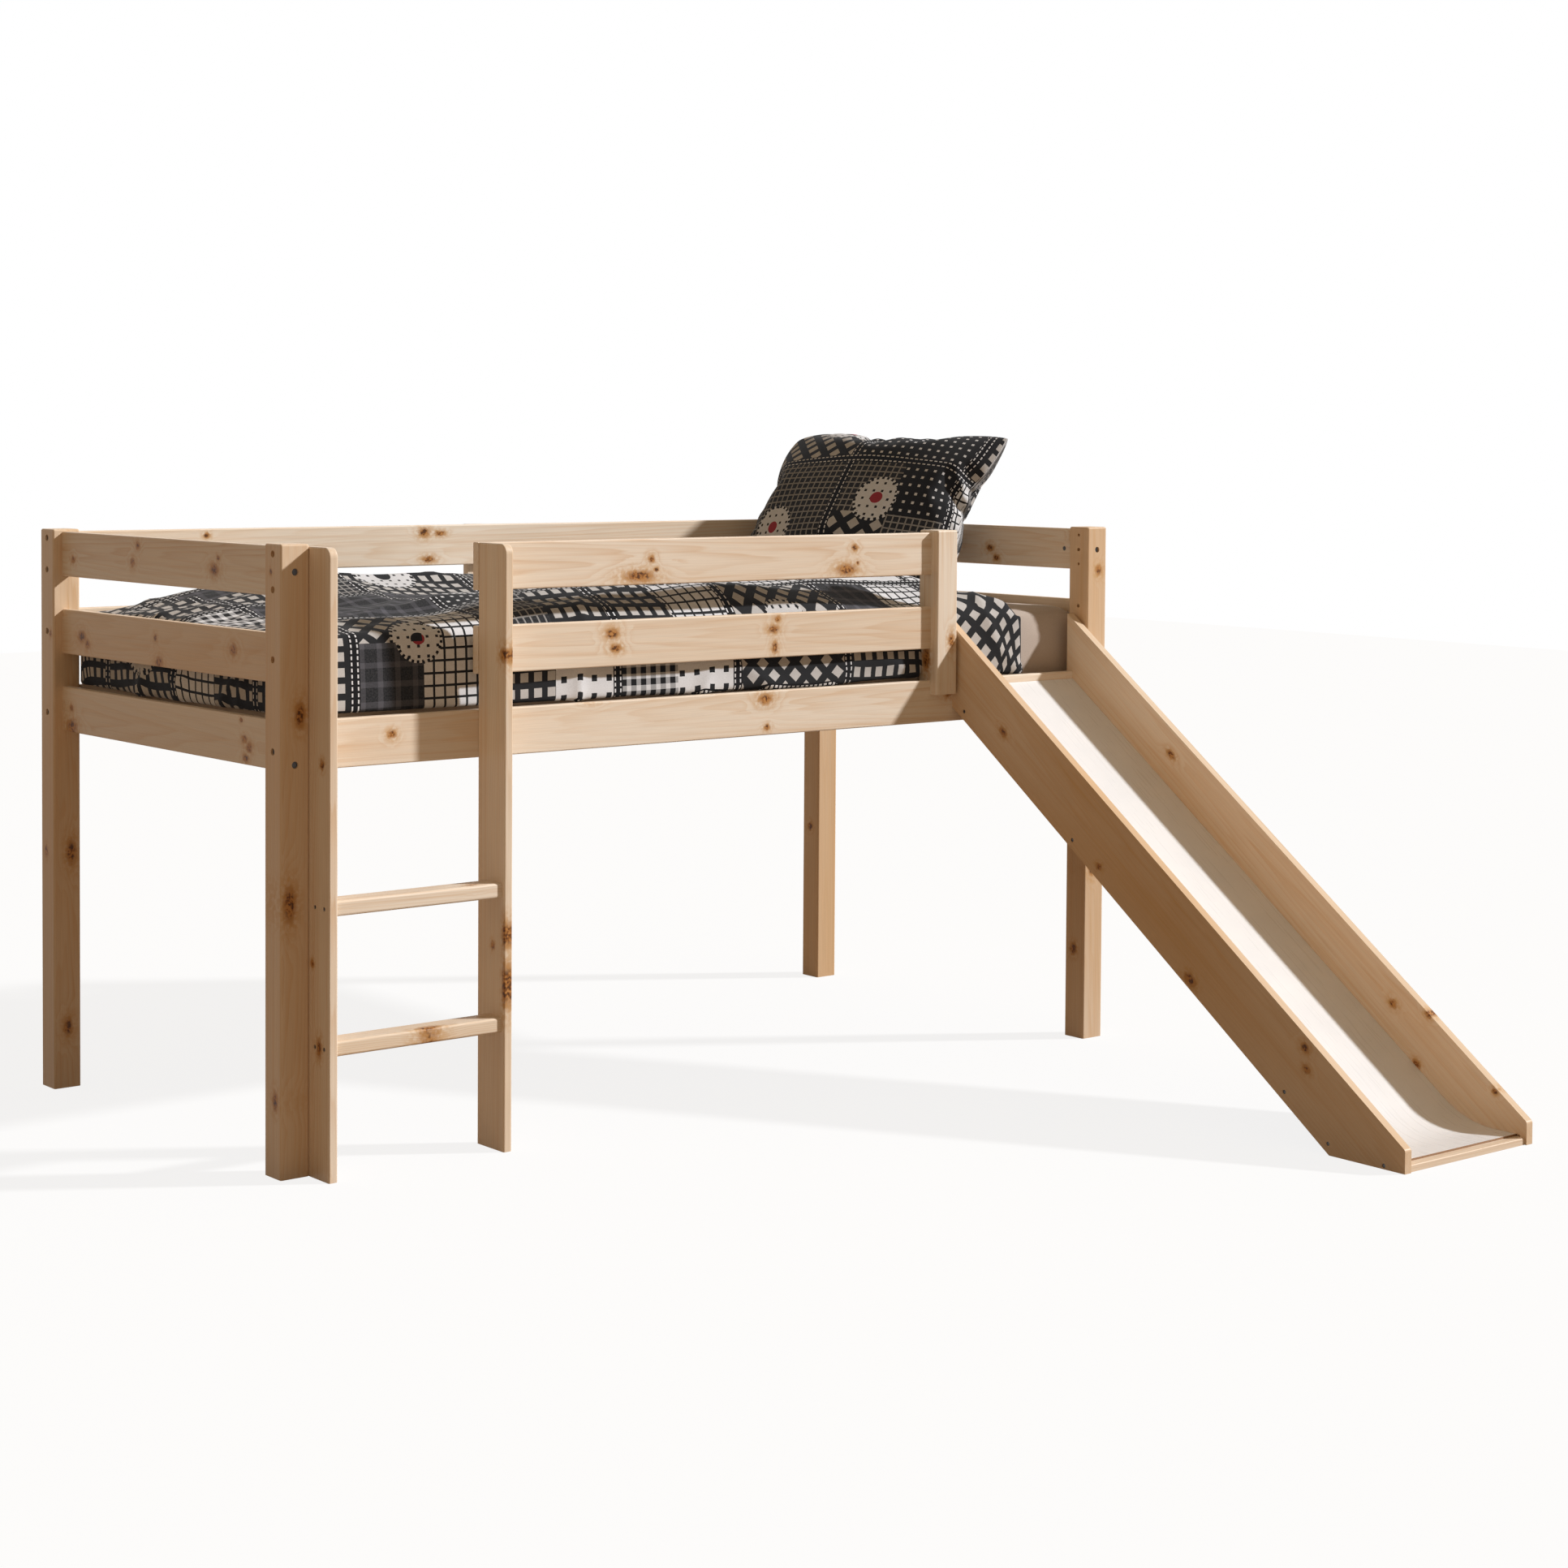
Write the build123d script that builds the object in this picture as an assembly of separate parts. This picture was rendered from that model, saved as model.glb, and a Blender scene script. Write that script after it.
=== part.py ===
"""Children's loft bed in knotty pine with a ladder and a slide, and its bedding.

Millimetres, +Z up. The bed's long side runs along X and the slide points to -Y. Places are counted from the
foot of the front left post, at its outer corner: x to the right, y to the back, z up from the floor. At the
end everything moves together, so that the origin lies on the floor under the middle of the whole.
"""

import math
import os

from build123d import *

# The bed as a whole
bed_length = 2086
bed_width = 976
bed_height = 1140
slide_projection = 1202

# Stock that the frame is cut from
post_size = 58
board_height = 90
board_thickness = 18
edge_round = 3
post_round = 4

# Heights and openings
top_board_drop = 5
board_gap = 67
bay_width = 392

# Ladder
rung_rise = 252
rung_count = 2
rung_thickness = 28
rung_depth = 52
rung_set_back = 8
rung_round = 5
stile_corner_round = 18

# Guard post at the slide, slotted over the side rail
guard_slot_depth = 30
slot_clearance = 0.2

# Stiffener behind the bed's back
stiffener_width = 44
stiffener_round = 2

# Slats and what they lie on
ledger_height = 20
ledger_lift = 11
slat_count = 14
slat_width = 70
slat_thickness = 18
slat_end_clearance = 2
slat_end_margin = 30

# Slide
slide_width = 380
stringer_width = 140
stringer_thickness = 18
stringer_hook_rise = 127
stringer_front_height = 44
stringer_corner_round = 8
panel_thickness = 4
panel_set_down = 105
panel_foot_radius = 200
panel_end_clearance = 0.3
panel_end_margin = 21
groove_depth = 5
groove_clearance = 0.2
groove_overshoot = 10
front_batten_height = 13
front_batten_depth = 90
front_batten_set_back = 4
front_batten_round = 2
cross_batten_width = 20
# Places of the cross battens down the slope, as shares of the stringers' length
cross_batten_station_shares = (0.1036, 0.3669, 0.827, 0.9136)

# Bolts, barrel nuts, dowels and screws
bolt_diameter = 6
bolt_hole_diameter = 6.6
bolt_head_diameter = 12
bolt_head_height = 5
counterbore_diameter = 13
counterbore_depth = 9
bolt_reach = 48
nut_distance = 36
nut_diameter = 10
nut_length = 14
nut_hole_diameter = 10.4
nut_hole_depth = 15
dowel_diameter = 8
dowel_hole_diameter = 8.2
dowel_in_post = 22
dowel_in_board = 30
dowel_end_gap = 1
screw_diameter = 4
screw_head_diameter = 8
screw_head_height = 3
screw_sink = 5
screw_bite = 32
screw_clearance = 0.1
side_bolt_spread = 32
rail_bolt_drop = 8
rail_dowel_rise = 24
end_rail_bolt_drop = 31
rung_screw_spacing = 32
cut_overrun = 1

# Mattress with its fitted sheet
mattress_height = 185
mattress_corner_round = 28
mattress_side_gap = 2
mattress_end_gap = 4
mattress_edge_inset = 14
mattress_side_draw = 4
mattress_crown = 6
mattress_crown_inset = 185
soft_clearance = 0.3

# Duvet laid over the mattress and tucked down inside the frame
duvet_side_thickness = 15
duvet_corner_round = 60
duvet_crown = 55
duvet_drop = 148
duvet_belly_rise = 60
duvet_end_set_back = 167
duvet_end_lip = 4
duvet_end_round = 73
duvet_end_slope = 14.5
duvet_post_clearance = 1.2

# Pillow that stands on the duvet and leans on the upper board of the slide end
pillow_width = 632
pillow_height = 450
pillow_thickness = 186
pillow_seam = 6
pillow_lean = 37
pillow_turn = 11.5
pillow_foot_rise = 18
pillow_side_gap = 17
pillow_dent = 6
pillow_touch_width_share = 0.25
pillow_touch_thickness_share = 0.89


# Levels and lines that the pieces share
board_recess = (post_size - board_thickness) / 2
inner_face = board_recess + board_thickness
top_board_z = bed_height - top_board_drop - board_height
board_pitch = board_height + board_gap
middle_board_z = top_board_z - board_pitch
rail_z = middle_board_z - board_pitch
rail_top = rail_z + board_height
guard_post_right = bed_length - post_size - bay_width
guard_post_left = guard_post_right - post_size
stile_right_left_face = post_size + bay_width - board_thickness
ledger_z = rail_z + ledger_lift
slat_z = ledger_z + ledger_height
slat_top = slat_z + slat_thickness


def block(x, y, z, across, deep, high):
    """Solid with its lowest corner at x, y, z."""
    corner = (Align.MIN, Align.MIN, Align.MIN)
    return Pos(x, y, z) * Box(across, deep, high, align=corner)


def rounded(solid, axis, radius):
    """The solid with its edges along one axis rounded."""
    return fillet(solid.edges().filter_by(axis), radius)


def rod(radius, start, end):
    """Cylinder along local X from start to end."""
    ends = (Align.CENTER, Align.CENTER, Align.MIN)
    return Pos(start, 0, 0) * Rot(0, 90, 0) * Cylinder(radius, end - start, align=ends)


def cross_rod(radius, x, start, end):
    """Cylinder along local Y at x, between start and end."""
    return Pos(x, (start + end) / 2, 0) * Rot(90, 0, 0) * Cylinder(radius, abs(end - start))


# Joints between boards and posts: a bolt from the post's outer face into a barrel nut, and dowels beside it


class BoardEnd:
    """One end of a board at a post. Local X points from the post's outer face along the board."""

    def __init__(self, x, y, z, turn, nut_side, bolt_rises, dowel_rises):
        self.entry = Pos(x, y, z) * Rot(0, 0, turn)
        self.nut_side = nut_side
        self.bolts = [self.entry * Pos(0, 0, rise) for rise in bolt_rises]
        self.dowels = [self.entry * Pos(0, 0, rise) for rise in dowel_rises]

    def post_cuts(self):
        head_room = rod(counterbore_diameter / 2, -cut_overrun, counterbore_depth)
        bolt_room = rod(bolt_hole_diameter / 2, 0, post_size + cut_overrun)
        dowel_room = rod(dowel_hole_diameter / 2, post_size - dowel_in_post, post_size + cut_overrun)
        return [place * (head_room + bolt_room) for place in self.bolts] + [
            place * dowel_room for place in self.dowels
        ]

    def board_cuts(self):
        bolt_room = rod(bolt_hole_diameter / 2, post_size - cut_overrun, post_size + bolt_reach)
        inner = board_thickness / 2
        nut_room = cross_rod(
            nut_hole_diameter / 2,
            post_size + nut_distance,
            self.nut_side * (inner + cut_overrun),
            self.nut_side * (inner - nut_hole_depth),
        )
        dowel_room = rod(dowel_hole_diameter / 2, post_size - cut_overrun, post_size + dowel_in_board)
        return [place * (bolt_room + nut_room) for place in self.bolts] + [
            place * dowel_room for place in self.dowels
        ]

    def bolt_solids(self):
        head_start = counterbore_depth - bolt_head_height
        head = rod(bolt_head_diameter / 2, head_start, counterbore_depth)
        shank = rod(bolt_diameter / 2, counterbore_depth, post_size + bolt_reach - cut_overrun)
        return [place * (head + shank) for place in self.bolts]

    def nut_solids(self):
        inner = board_thickness / 2
        middle = self.nut_side * (inner - nut_hole_depth + nut_length / 2)
        half = nut_length / 2
        body = cross_rod(nut_diameter / 2, post_size + nut_distance, middle - half, middle + half)
        thread = rod(bolt_diameter / 2 + screw_clearance, post_size, post_size + bolt_reach)
        return [place * (body - thread) for place in self.bolts]

    def dowel_solids(self):
        start = post_size - dowel_in_post + dowel_end_gap
        end = post_size + dowel_in_board - dowel_end_gap
        return [place * rod(dowel_diameter / 2, start, end) for place in self.dowels]


mid_post = post_size / 2
mid_board = board_height / 2
# Each level's lower edge, and how far its bolts and its dowels lie above the board's middle
side_levels = {
    "top": (top_board_z, (side_bolt_spread, -side_bolt_spread), (0,)),
    "middle": (middle_board_z, (0,), (side_bolt_spread, -side_bolt_spread)),
    "rail": (rail_z, (-rail_bolt_drop,), (rail_dowel_rise,)),
}
end_levels = {
    "top": (top_board_z, (0,), (side_bolt_spread, -side_bolt_spread)),
    "middle": (middle_board_z, (), (side_bolt_spread, -side_bolt_spread)),
    "rail": (rail_z, (-end_rail_bolt_drop,), (rail_dowel_rise,)),
}


def side_end(level, right, rear):
    """End of a long board: at the left or right post, on the front or rear side."""
    z, bolts, dowels = side_levels[level]
    x = bed_length if right else 0
    y = bed_width - mid_post if rear else mid_post
    nut_side = -1 if right != rear else 1
    return BoardEnd(x, y, z + mid_board, 180 if right else 0, nut_side, bolts, dowels)


def cross_end(level, right, rear):
    """End of a short board: at the front or rear post, at the left or right end."""
    z, bolts, dowels = end_levels[level]
    x = bed_length - mid_post if right else mid_post
    y = bed_width if rear else 0
    nut_side = 1 if right != rear else -1
    return BoardEnd(x, y, z + mid_board, -90 if rear else 90, nut_side, bolts, dowels)


board_ends = []


def joined(board, ends):
    """The board with the holes of its ends, which are noted for the posts and the fasteners."""
    board_ends.extend(ends)
    cuts = [cut for end in ends for cut in end.board_cuts()]
    return board - cuts if cuts else board


def long_board(level, rear):
    """Board between the left and right posts."""
    z = side_levels[level][0]
    y = bed_width - inner_face if rear else board_recess
    length = bed_length - 2 * post_size
    board = rounded(block(post_size, y, z, length, board_thickness, board_height), Axis.X, edge_round)
    return joined(board, [side_end(level, right, rear) for right in (False, True)])


def end_board(level, right):
    """Board between the front and rear posts."""
    z = end_levels[level][0]
    x = bed_length - inner_face if right else board_recess
    length = bed_width - 2 * post_size
    board = rounded(block(x, post_size, z, board_thickness, length, board_height), Axis.Y, edge_round)
    return joined(board, [cross_end(level, right, rear) for rear in (False, True)])


nodes = {}
nodes["front_side_rail"] = long_board("rail", rear=False)
nodes["rear_side_rail"] = long_board("rail", rear=True)
nodes["rear_guard_lower"] = long_board("middle", rear=True)
nodes["rear_guard_upper"] = long_board("top", rear=True)
for end_name, at_right in (("left", False), ("right", True)):
    nodes[end_name + "_end_rail"] = end_board("rail", at_right)
    nodes[end_name + "_end_guard_lower"] = end_board("middle", at_right)
    nodes[end_name + "_end_guard_upper"] = end_board("top", at_right)


# Corner posts, all four drilled alike, so the front ones keep the holes of the boards that they don't hold


def corner_post(right, rear):
    x = bed_length - post_size if right else 0
    y = bed_width - post_size if rear else 0
    body = block(x, y, 0, post_size, post_size, bed_height)
    body = fillet(body.edges().filter_by(Axis.Z) + body.edges().group_by(Axis.Z)[-1], post_round)
    cuts = []
    for level in side_levels:
        cuts += side_end(level, right, rear).post_cuts()
        cuts += cross_end(level, right, rear).post_cuts()
    return body - cuts


for end_name, at_right in (("left", False), ("right", True)):
    nodes["post_front_" + end_name] = corner_post(at_right, rear=False)
    nodes["post_rear_" + end_name] = corner_post(at_right, rear=True)


# Screws: each has its head sunk in the first piece and its point in the second


class Screw:
    """Wood screw along local X from the outer face of the first piece, with the room that it needs."""

    def __init__(self, place, length):
        self.place = place
        self.length = length

    def solid(self):
        head = rod(screw_head_diameter / 2, screw_sink - screw_head_height, screw_sink)
        return self.place * (head + rod(screw_diameter / 2, screw_sink, self.length))

    def room(self):
        head = rod(screw_head_diameter / 2 + screw_clearance, -cut_overrun, screw_sink)
        shank = rod(screw_diameter / 2 + screw_clearance, 0, self.length + screw_clearance)
        return self.place * (head + shank)


def screwed(solid, screws):
    """The solid with room for the screws that pass through or into it."""
    return solid - [screw.room() for screw in screws]


# Ladder: two boards on edge in front of the side rail, with flat rungs screwed between them

stile_front = board_recess - board_height
stile_top = top_board_z + board_height
rung_front = stile_front + rung_set_back
rung_middle = rung_front + rung_depth / 2
rung_length = bay_width - 2 * board_thickness
ladder_screw_length = board_thickness + screw_bite
stile_x = {"left": post_size, "right": stile_right_left_face}


def rung_screws(side):
    """Screws from the outer face of one stile into the ends of the rungs."""
    x = stile_x[side] + (board_thickness if side == "right" else 0)
    turn = 180 if side == "right" else 0
    screws = []
    for step in range(1, rung_count + 1):
        for offset in (-rung_screw_spacing / 2, rung_screw_spacing / 2):
            place = Pos(x, rung_middle + offset, step * rung_rise - rung_thickness / 2)
            screws.append(Screw(place * Rot(0, 0, turn), ladder_screw_length))
    return screws


def stile_screws(side):
    """Screws from the inner face of the rail and guards into the stile's back edge."""
    held = (rail_z,) if side == "left" else (rail_z, middle_board_z, top_board_z)
    x = stile_x[side] + board_thickness / 2
    screws = []
    for z in held:
        for rise in (board_height / 3, 2 * board_height / 3):
            place = Pos(x, inner_face, z + rise) * Rot(0, 0, -90)
            screws.append(Screw(place, ladder_screw_length))
    return screws


def ladder_stile(side):
    body = block(stile_x[side], stile_front, 0, board_thickness, board_height, stile_top)
    front_top = body.edges().filter_by(Axis.X).group_by(Axis.Z)[-1].sort_by(Axis.Y)[0]
    body = fillet(front_top, stile_corner_round)
    body = fillet(body.edges().filter_by(Axis.Z), edge_round)
    return screwed(body, rung_screws(side) + stile_screws(side))


for side in stile_x:
    nodes["ladder_stile_" + side] = ladder_stile(side)
both_rung_screws = rung_screws("left") + rung_screws("right")
for step in range(1, rung_count + 1):
    left, bottom = post_size + board_thickness, step * rung_rise - rung_thickness
    rung = block(left, rung_front, bottom, rung_length, rung_depth, rung_thickness)
    held = [s for s in both_rung_screws if 0 < s.place.position.Z - bottom < rung_thickness]
    nodes[f"ladder_rung_{step}"] = screwed(rounded(rung, Axis.X, rung_round), held)
ladder_screws = both_rung_screws + stile_screws("left") + stile_screws("right")
nodes["front_side_rail"] = screwed(nodes["front_side_rail"], stile_screws("left") + stile_screws("right"))


# Guard post, slotted at its foot over the side rail, and the two boards between it and the ladder

guard_foot = rail_top - guard_slot_depth
guard_middle_y = mid_post


def guard_dowels(z):
    """Places of the dowels between a front guard board and the guard post, local X along the board."""
    rises = (mid_board - side_bolt_spread / 2, mid_board + side_bolt_spread / 2)
    return [Pos(guard_post_left, guard_middle_y, z + rise) for rise in rises]


def guard_post():
    body = block(guard_post_left, 0, guard_foot, post_size, post_size, bed_height - guard_foot)
    body = fillet(body.edges().filter_by(Axis.Z) + body.edges().group_by(Axis.Z)[-1], post_round)
    slot_width = board_thickness + 2 * slot_clearance
    slot = block(
        guard_post_left - cut_overrun,
        board_recess - slot_clearance,
        guard_foot - cut_overrun,
        post_size + 2 * cut_overrun,
        slot_width,
        guard_slot_depth + cut_overrun,
    )
    dowel_room = rod(dowel_hole_diameter / 2, -cut_overrun, dowel_in_post)
    cuts = [slot] + [place * dowel_room for z in (middle_board_z, top_board_z) for place in guard_dowels(z)]
    return screwed(body - cuts, guard_screws())


def guard_screws():
    """Screws from the guard post's inner cheek through the rail into its outer cheek."""
    z = rail_top - guard_slot_depth / 2
    xs = (guard_post_left + post_size / 4, guard_post_left + 3 * post_size / 4)
    length = post_size - board_recess / 2
    return [Screw(Pos(x, post_size, z) * Rot(0, 0, -90), length) for x in xs]


def front_guard(z):
    length = guard_post_left - stile_right_left_face
    body = block(stile_right_left_face, board_recess, z, length, board_thickness, board_height)
    dowel_room = rod(dowel_hole_diameter / 2, -dowel_in_board, cut_overrun)
    body = rounded(body, Axis.X, edge_round) - [place * dowel_room for place in guard_dowels(z)]
    return screwed(body, [s for s in stile_screws("right") if z < s.place.position.Z < z + board_height])


nodes["guard_post"] = guard_post()
nodes["front_guard_lower"] = front_guard(middle_board_z)
nodes["front_guard_upper"] = front_guard(top_board_z)
nodes["front_side_rail"] = screwed(nodes["front_side_rail"], guard_screws())


# Stiffener that ties the three boards at the back together, in the middle of the bed

stiffener_y = bed_width - board_recess


def stiffener_screws():
    screws = []
    for z in (rail_z, middle_board_z, top_board_z):
        for rise in (board_height / 4, 3 * board_height / 4):
            place = Pos(bed_length / 2, stiffener_y + board_thickness, z + rise) * Rot(0, 0, -90)
            screws.append(Screw(place, board_thickness + board_thickness / 2))
    return screws


stiffener_x, stiffener_height = (bed_length - stiffener_width) / 2, stile_top - rail_z
stiffener = block(stiffener_x, stiffener_y, rail_z, stiffener_width, board_thickness, stiffener_height)
nodes["rear_stiffener"] = screwed(rounded(stiffener, Axis.Z, stiffener_round), stiffener_screws())
for name in ("rear_side_rail", "rear_guard_lower", "rear_guard_upper"):
    nodes[name] = screwed(nodes[name], stiffener_screws())


# Slat base: a ledger along each side rail, and slats screwed down on both

ledger_length = bed_length - 2 * post_size
ledger_depth = post_size - inner_face
slat_length = bed_width - 2 * inner_face - 2 * slat_end_clearance
slat_span = bed_length - 2 * inner_face - 2 * slat_end_margin - slat_width
slat_screw_length = slat_thickness + ledger_height / 2


def slat_x(index):
    """Left edge of a slat."""
    return inner_face + slat_end_margin + slat_span * index / (slat_count - 1)


def slat_screws(index):
    screws = []
    for y in (inner_face + ledger_depth / 2, bed_width - inner_face - ledger_depth / 2):
        place = Pos(slat_x(index) + slat_width / 2, y, slat_top) * Rot(0, 90, 0)
        screws.append(Screw(place, slat_screw_length))
    return screws


def ledger_screws(rear):
    """Screws from the ledger's inner face into the side rail."""
    y = bed_width - post_size if rear else post_size
    length = ledger_depth + board_thickness / 2
    count = slat_count // 2
    screws = []
    for index in range(count):
        x = post_size + ledger_length * (index + 1) / (count + 1)
        place = Pos(x, y, ledger_z + ledger_height / 2) * Rot(0, 0, 90 if rear else -90)
        screws.append(Screw(place, length))
    return screws


all_slat_screws = [s for index in range(slat_count) for s in slat_screws(index)]
for side, at_rear in (("front", False), ("rear", True)):
    y = bed_width - post_size if at_rear else inner_face
    ledger = block(post_size, y, ledger_z, ledger_length, ledger_depth, ledger_height)
    own = [s for s in all_slat_screws if (s.place.position.Y > bed_width / 2) == at_rear]
    nodes["slat_ledger_" + side] = screwed(ledger, own + ledger_screws(at_rear))
    rail_name = side + "_side_rail"
    nodes[rail_name] = screwed(nodes[rail_name], ledger_screws(at_rear))
for index in range(slat_count):
    slat = block(
        slat_x(index), inner_face + slat_end_clearance, slat_z, slat_width, slat_length, slat_thickness
    )
    nodes[f"slat_{index + 1:02d}"] = screwed(rounded(slat, Axis.Y, edge_round), slat_screws(index))


# Slide: two stringers that hook over the side rail, a bent panel between them and battens under it

slide_left = guard_post_right + (bay_width - slide_width) / 2
slide_inner_width = slide_width - 2 * stringer_thickness
slide_top_y = inner_face
stringer_top_height = rail_top + stringer_hook_rise
slide_angle = math.atan2(stringer_top_height - stringer_front_height, slide_top_y + slide_projection)
slide_sin, slide_cos, slide_tan = math.sin(slide_angle), math.cos(slide_angle), math.tan(slide_angle)
cross_batten_depth = stringer_width - panel_set_down - panel_thickness
slide_screw_length = stringer_thickness + screw_bite
slope_length = (slide_top_y + slide_projection) / slide_cos
cross_batten_stations = [share * slope_length for share in cross_batten_station_shares]


def upper_edge(y):
    """Height of a stringer's upper edge."""
    return stringer_top_height - (slide_top_y - y) * slide_tan


def lower_edge(y):
    """Height of a stringer's lower edge before the foot is cut flat."""
    return upper_edge(y) - stringer_width / slide_cos


def side_profile(points):
    """Closed outline in the plane across X, from points of y and z."""
    return Plane.YZ * make_face(Polyline(*points, close=True))


def slope_place(station, depth):
    """Location on the slide: station down the slope from its top, depth under the upper edge."""
    y = slide_top_y - station * slide_cos + depth * slide_sin
    z = stringer_top_height - station * slide_sin - depth * slide_cos
    return y, z


def slide_screws(left):
    """Screws from a stringer's outer face into the battens."""
    x = slide_left if left else slide_left + slide_width
    middle_depth = stringer_width - cross_batten_depth / 2
    places = [slope_place(station, middle_depth) for station in cross_batten_stations]
    places.append((front_batten_back - front_batten_depth / 2, front_batten_height / 2))
    turn = 0 if left else 180
    return [Screw(Pos(x, y, z) * Rot(0, 0, turn), slide_screw_length) for y, z in places]


front_batten_front = -slide_projection + front_batten_set_back
front_batten_back = front_batten_front + front_batten_depth
panel_end_y = front_batten_front + panel_end_margin


def panel_line(depth, flat, radius, start_y, end_y):
    """Line down the slide at a depth under its upper edge, bent level at a height near the floor."""
    corner_y = slide_top_y - (stringer_top_height - depth / slide_cos - flat) / slide_tan
    start = (start_y, upper_edge(start_y) - depth / slide_cos)
    return FilletPolyline(start, (corner_y, flat), (end_y, flat), radius=radius)


def panel_section(grow, start_y, end_y):
    """Side view of the bent panel, grown by the clearance of what holds it."""
    top = panel_line(
        panel_set_down - grow,
        front_batten_height + panel_thickness + grow,
        panel_foot_radius - grow,
        start_y,
        end_y,
    )
    under = panel_line(
        panel_set_down + panel_thickness + grow,
        front_batten_height - grow,
        panel_foot_radius + panel_thickness + grow,
        start_y,
        end_y,
    )
    ends = [Line(top @ 1, under @ 1), Line(under @ 0, top @ 0)]
    return Plane.YZ * make_face([*top.edges(), *under.edges(), *[end.edge() for end in ends]])


def slide_stringer(left):
    foot_y = -slide_projection + (stringer_width / slide_cos - stringer_front_height) / slide_tan
    outline = side_profile(
        [
            (slide_top_y, stringer_top_height),
            (slide_top_y, rail_top),
            (board_recess, rail_top),
            (board_recess, lower_edge(board_recess)),
            (foot_y, 0),
            (-slide_projection, 0),
            (-slide_projection, stringer_front_height),
        ]
    )
    x = slide_left if left else slide_left + slide_width - stringer_thickness
    body = Pos(x, 0, 0) * extrude(outline, stringer_thickness)
    across = body.edges().filter_by(Axis.X)
    front_top = across.sort_by(Axis.Y)[:2].sort_by(Axis.Z)[-1]
    body = fillet(front_top, stringer_corner_round)
    groove = panel_section(groove_clearance, board_recess + cut_overrun, panel_end_y - groove_overshoot)
    groove_x = x + stringer_thickness - groove_depth if left else x - cut_overrun
    body -= Pos(groove_x, 0, 0) * extrude(groove, groove_depth + cut_overrun)
    return screwed(body, slide_screws(left))


nodes["slide_stringer_left"] = slide_stringer(left=True)
nodes["slide_stringer_right"] = slide_stringer(left=False)
slide_screw_list = slide_screws(left=True) + slide_screws(left=False)

for number, station in enumerate(cross_batten_stations, start=1):
    y, z = slope_place(station, stringer_width - cross_batten_depth / 2)
    batten = Box(slide_inner_width, cross_batten_width, cross_batten_depth)
    place = Pos(slide_left + slide_width / 2, y, z) * Rot(math.degrees(slide_angle), 0, 0)
    nodes[f"slide_cross_batten_{number}"] = screwed(place * batten, slide_screw_list)

front_batten = block(
    slide_left + stringer_thickness,
    front_batten_front,
    0,
    slide_inner_width,
    front_batten_depth,
    front_batten_height,
)
front_edge = front_batten.edges().filter_by(Axis.X).group_by(Axis.Z)[-1].sort_by(Axis.Y)[0]
nodes["slide_front_batten"] = screwed(fillet(front_edge, front_batten_round), slide_screw_list)


def slide_panel():
    """Thin laminated board in the stringers' grooves, bent level where it lies on the front batten."""
    section = panel_section(0, board_recess - panel_end_clearance, panel_end_y)
    edge_room = groove_depth - groove_clearance
    x = slide_left + stringer_thickness - edge_room
    return Pos(x, 0, 0) * extrude(section, slide_inner_width + 2 * edge_room)


nodes["slide_panel"] = slide_panel()


# Fasteners, one group of solids for each kind

nodes["frame_bolts"] = Compound([s for end in board_ends for s in end.bolt_solids()])
nodes["barrel_nuts"] = Compound([s for end in board_ends for s in end.nut_solids()])
guard_dowel_solids = [
    place * rod(dowel_diameter / 2, dowel_end_gap - dowel_in_board, dowel_in_post - dowel_end_gap)
    for z in (middle_board_z, top_board_z)
    for place in guard_dowels(z)
]
nodes["dowels"] = Compound([s for end in board_ends for s in end.dowel_solids()] + guard_dowel_solids)
nodes["ladder_screws"] = Compound([screw.solid() for screw in ladder_screws])
nodes["guard_post_screws"] = Compound([screw.solid() for screw in guard_screws()])
nodes["stiffener_screws"] = Compound([screw.solid() for screw in stiffener_screws()])
nodes["slat_screws"] = Compound([screw.solid() for screw in all_slat_screws])
nodes["ledger_screws"] = Compound([s.solid() for at_rear in (False, True) for s in ledger_screws(at_rear)])
nodes["slide_screws"] = Compound([screw.solid() for screw in slide_screw_list])


# Mattress: foam in a fitted sheet, with rounded corners, sides that draw in and a slight crown

mattress_left = post_size + mattress_side_gap
mattress_right = bed_length - inner_face - mattress_end_gap
mattress_front = post_size + mattress_side_gap
mattress_back = bed_width - mattress_front


def mattress_solid(grow):
    """The mattress, grown all round for what lies over it."""
    middle = Pos((mattress_left + mattress_right) / 2, (mattress_front + mattress_back) / 2, slat_top)
    length = mattress_right - mattress_left + 2 * grow
    width = mattress_back - mattress_front + 2 * grow
    rim = mattress_height - mattress_crown
    layers = [
        (soft_clearance - grow, mattress_edge_inset),
        (mattress_edge_inset, 0),
        (mattress_height / 2, mattress_side_draw),
        (rim - mattress_edge_inset + grow, 0),
        (rim + grow, mattress_edge_inset),
        (mattress_height + grow, mattress_crown_inset),
    ]
    sections = []
    for z, inset in layers:
        outline = RectangleRounded(length - 2 * inset, width - 2 * inset, mattress_corner_round + grow)
        sections.append(middle * Pos(0, 0, z) * outline)
    return loft(sections, ruled=True)


nodes["mattress"] = mattress_solid(0)


# Duvet: a crowned cover whose sides hang between the mattress and the frame, rounded over at the slide end

mattress_top = slat_top + mattress_height
duvet_out = soft_clearance + duvet_side_thickness
duvet_left = mattress_left - duvet_out
duvet_right = mattress_right - duvet_end_set_back
duvet_hem = mattress_top - duvet_drop
# Height as a share of the crown over the mattress, and the draw-in as a share of half the width
duvet_layer_shares = ((-0.24, 0.004), (0.15, 0.028), (0.5, 0.1), (0.78, 0.27), (0.93, 0.5), (1, 0.77))


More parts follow.
